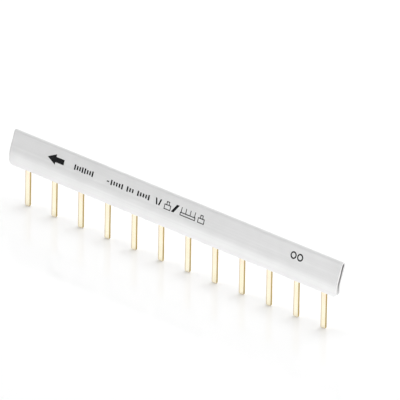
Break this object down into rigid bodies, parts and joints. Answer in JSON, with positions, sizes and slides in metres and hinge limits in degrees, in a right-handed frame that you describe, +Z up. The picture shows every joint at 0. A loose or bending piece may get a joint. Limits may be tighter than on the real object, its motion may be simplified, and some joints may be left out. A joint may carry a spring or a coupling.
{
  "type": "comb busbar",
  "caption": "Bent copper comb with a row of flat pins in a U-shaped plastic profile; feeds a row of modular devices on one rail.",
  "frame": {"origin": "middle of the pin row, at mid-thickness of the pins, level with their tips", "axes": "+X along the row, +Z up from the pin tips to the insulated strip, -Y towards the smooth front face; the strip leans back towards +Y"},
  "size_m": [0.2141, 0.0061, 0.036],
  "materials": {
    "bare_copper": "satin",
    "profile_plastic": "satin"
  },
  "bodies": {
    "root": {"conductor_comb": "bare_copper", "insulating_profile": "profile_plastic"}
  },
  "joints": []
}
